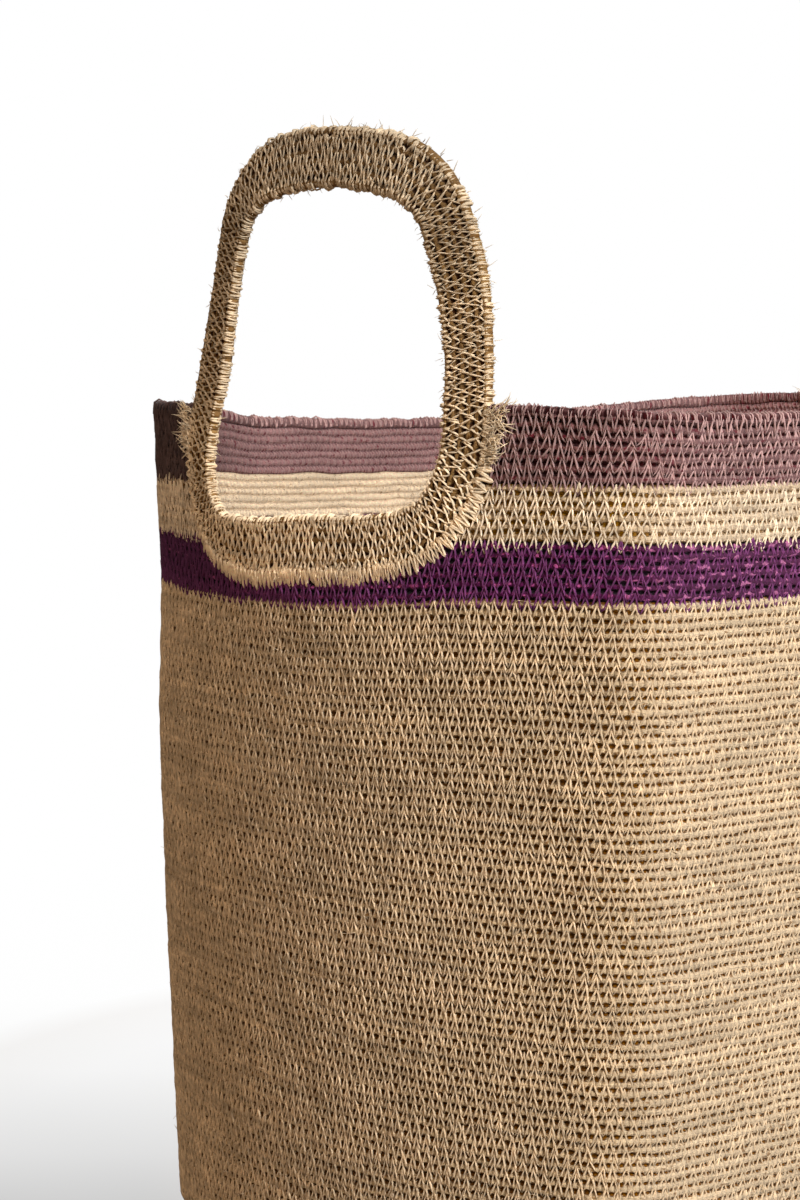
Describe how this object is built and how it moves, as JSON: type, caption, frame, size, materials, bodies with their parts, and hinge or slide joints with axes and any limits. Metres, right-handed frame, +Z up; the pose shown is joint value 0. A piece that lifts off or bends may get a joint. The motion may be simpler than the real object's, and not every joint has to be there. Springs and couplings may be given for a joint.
{
  "type": "rectangular basket",
  "caption": "Soft rectangular basket sewn from rows of raffia cord, with coloured bands under the rim and a closed ring handle let into each short end.",
  "frame": {"origin": "middle of the base on the floor", "axes": "+Z up, X along the long sides with a handle on each X end, Y across"},
  "size_m": [0.4702, 0.3466, 0.465],
  "materials": {
    "natural_raffia": "matte natural plant fibre cord, zigzag sewn",
    "purple_raffia": "matte dyed plant fibre cord, zigzag sewn",
    "cream_raffia": "matte bleached plant fibre cord, zigzag sewn",
    "mauve_raffia": "matte dyed plant fibre cord, zigzag sewn",
    "handle_raffia": "matte natural plant fibre cord, zigzag sewn"
  },
  "bodies": {
    "root": {"base_mat": "natural_raffia", "natural_wall": "natural_raffia", "purple_band": "purple_raffia", "cream_band_front": "cream_raffia", "cream_band_back": "cream_raffia", "mauve_band_front": "mauve_raffia", "mauve_band_back": "mauve_raffia", "rim_cord_front": "mauve_raffia", "rim_cord_back": "mauve_raffia", "left_handle": "handle_raffia", "right_handle": "handle_raffia"}
  },
  "joints": []
}
